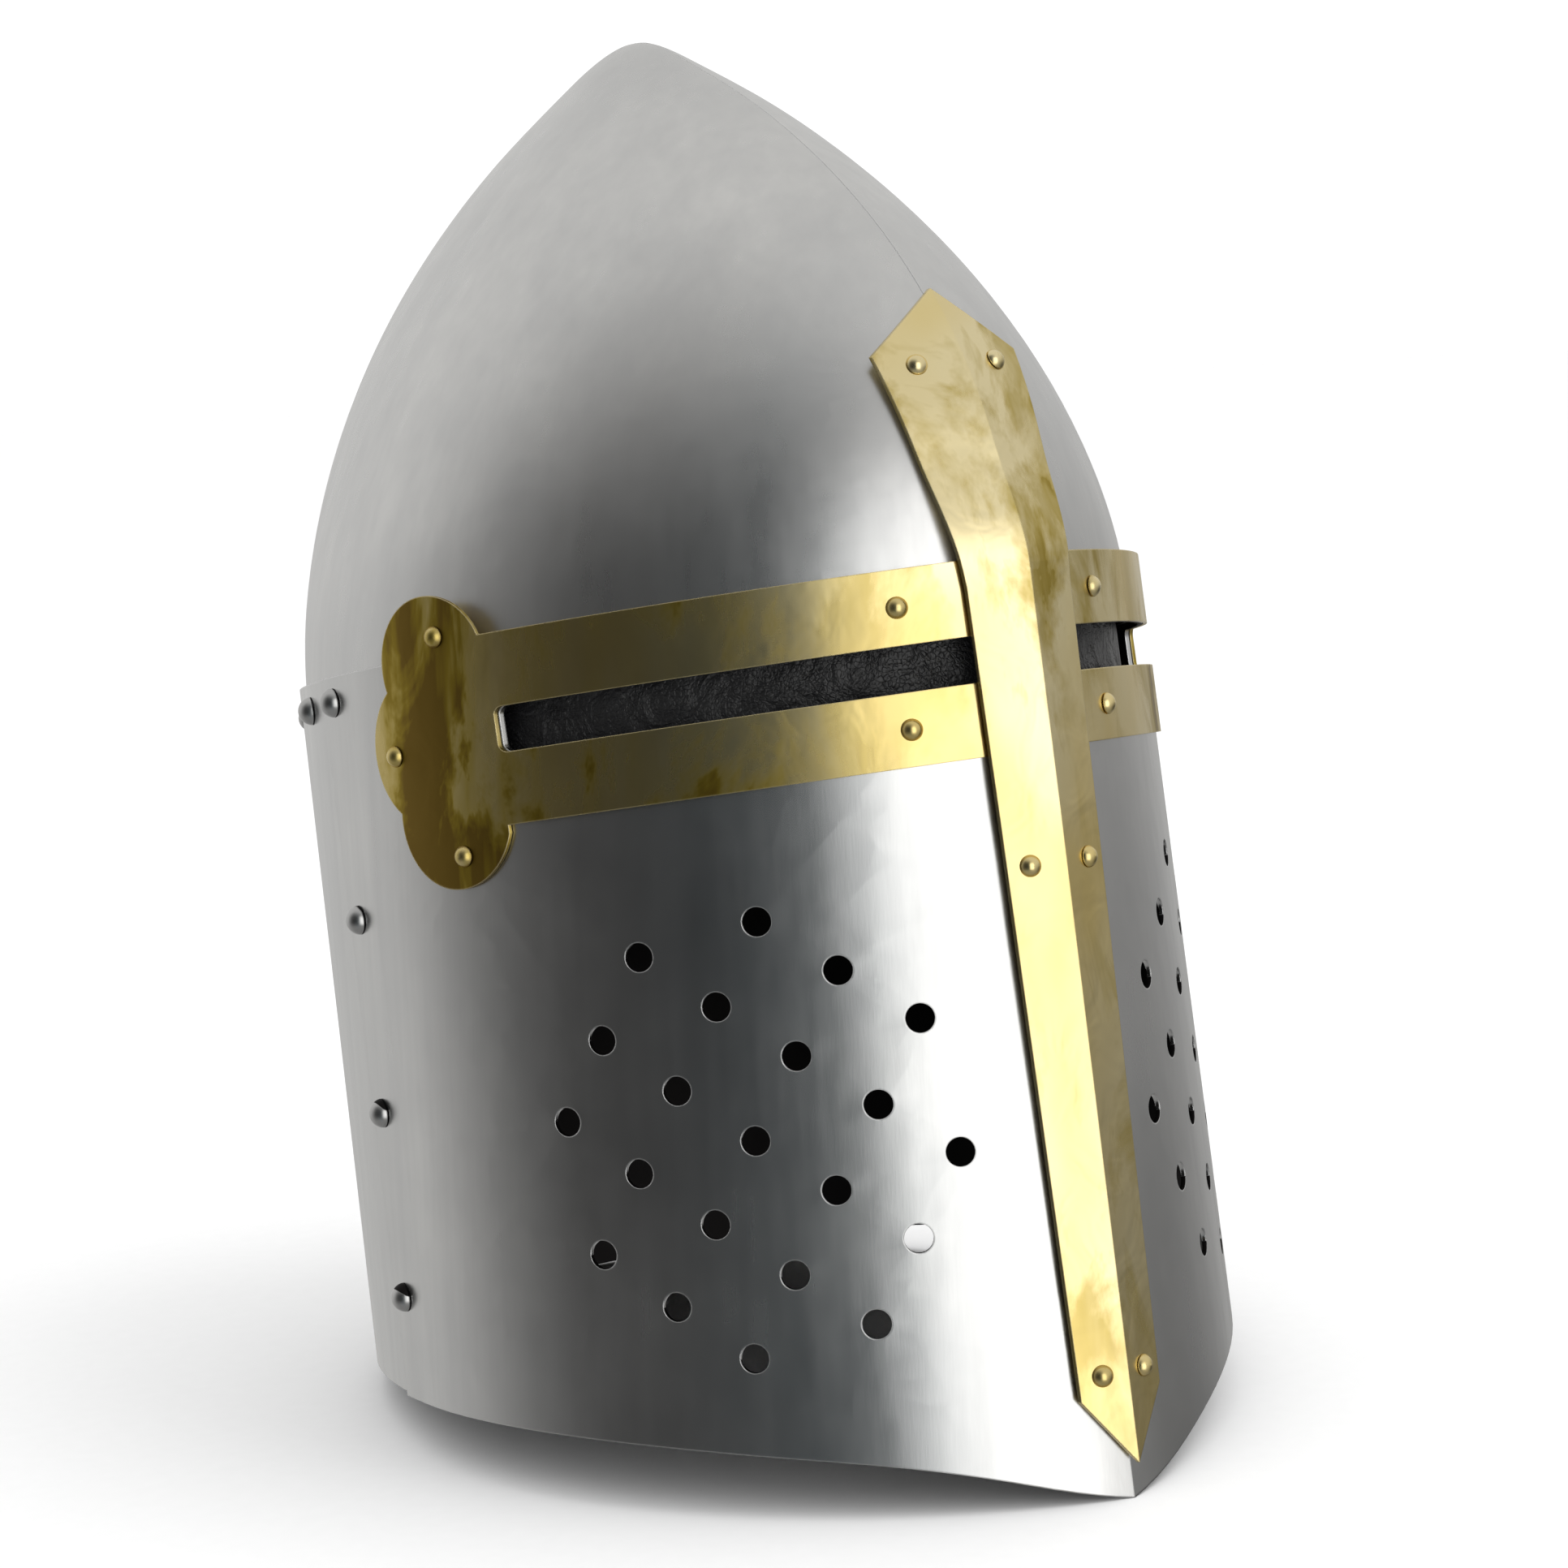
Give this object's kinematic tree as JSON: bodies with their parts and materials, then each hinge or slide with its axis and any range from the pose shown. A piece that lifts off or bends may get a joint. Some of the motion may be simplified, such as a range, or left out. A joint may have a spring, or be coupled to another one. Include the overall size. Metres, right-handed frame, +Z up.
{
  "type": "great helm",
  "caption": "Pointed steel great helm with a keeled face plate, brass cross with sight slits, breath holes, leather liner and chin strap.",
  "frame": {"origin": "middle of the bounding box on the surface that the beak and the rear rim stand on", "axes": "+Z up, -Y the way the face looks, -X the wearer's right"},
  "size_m": [0.2186, 0.2758, 0.3363],
  "materials": {
    "steel": "brushed, lightly worn",
    "brass": "polished with patchy tarnish",
    "liner_leather": "black, matt, creased",
    "strap_leather": "dark brown, waxed",
    "lace": "round cut thong",
    "fitting_steel": "plain bright"
  },
  "bodies": {
    "helm": {"skull_right_half": "steel", "skull_left_half": "steel", "face_plate": "steel", "back_plate": "steel", "side_seam_rivets": "steel", "back_seam_rivets": "steel", "keel_bar": "brass", "sight_frame_right": "brass", "sight_frame_left": "brass", "keel_bar_rivets": "brass", "sight_strap_rivets": "brass", "trefoil_rivets": "brass", "liner_headband": "liner_leather", "liner_lace": "lace", "chin_hanger_right": "fitting_steel", "chin_hanger_left": "fitting_steel", "liner_tongue_right_1": "liner_leather", "liner_tongue_right_2": "liner_leather", "liner_tongue_right_3": "liner_leather", "liner_tongue_right_4": "liner_leather", "liner_tongue_left_1": "liner_leather", "liner_tongue_left_2": "liner_leather", "liner_tongue_left_3": "liner_leather", "liner_tongue_left_4": "liner_leather"},
    "short_strap": {"chin_strap_short": "strap_leather", "strap_keeper": "strap_leather"},
    "long_strap": {"chin_strap_long": "strap_leather"},
    "buckle": {"buckle_frame": "fitting_steel"},
    "prong": {"buckle_prong": "fitting_steel"}
  },
  "joints": [
    {"name": "short_strap_swing", "type": "hinge", "parent": "helm", "child": "short_strap", "pos_m": [-0.09666, 0.01661, 0.11244], "axis": [-0.0697, -0.9888, 0.1323], "range_deg": [0, 75]},
    {"name": "long_strap_swing", "type": "hinge", "parent": "helm", "child": "long_strap", "pos_m": [0.09666, 0.01661, 0.11244], "axis": [-0.0697, 0.9888, -0.1323], "range_deg": [0, 75]},
    {"name": "buckle_turn", "type": "hinge", "parent": "short_strap", "child": "buckle", "pos_m": [-0.09666, 0.01131, 0.07279], "axis": [-0.0697, -0.9888, 0.1323], "range_deg": [0, 60]},
    {"name": "prong_turn", "type": "hinge", "parent": "buckle", "child": "prong", "pos_m": [-0.09666, 0.01131, 0.07279], "axis": [-0.0697, -0.9888, 0.1323], "range_deg": [0, 70]}
  ]
}
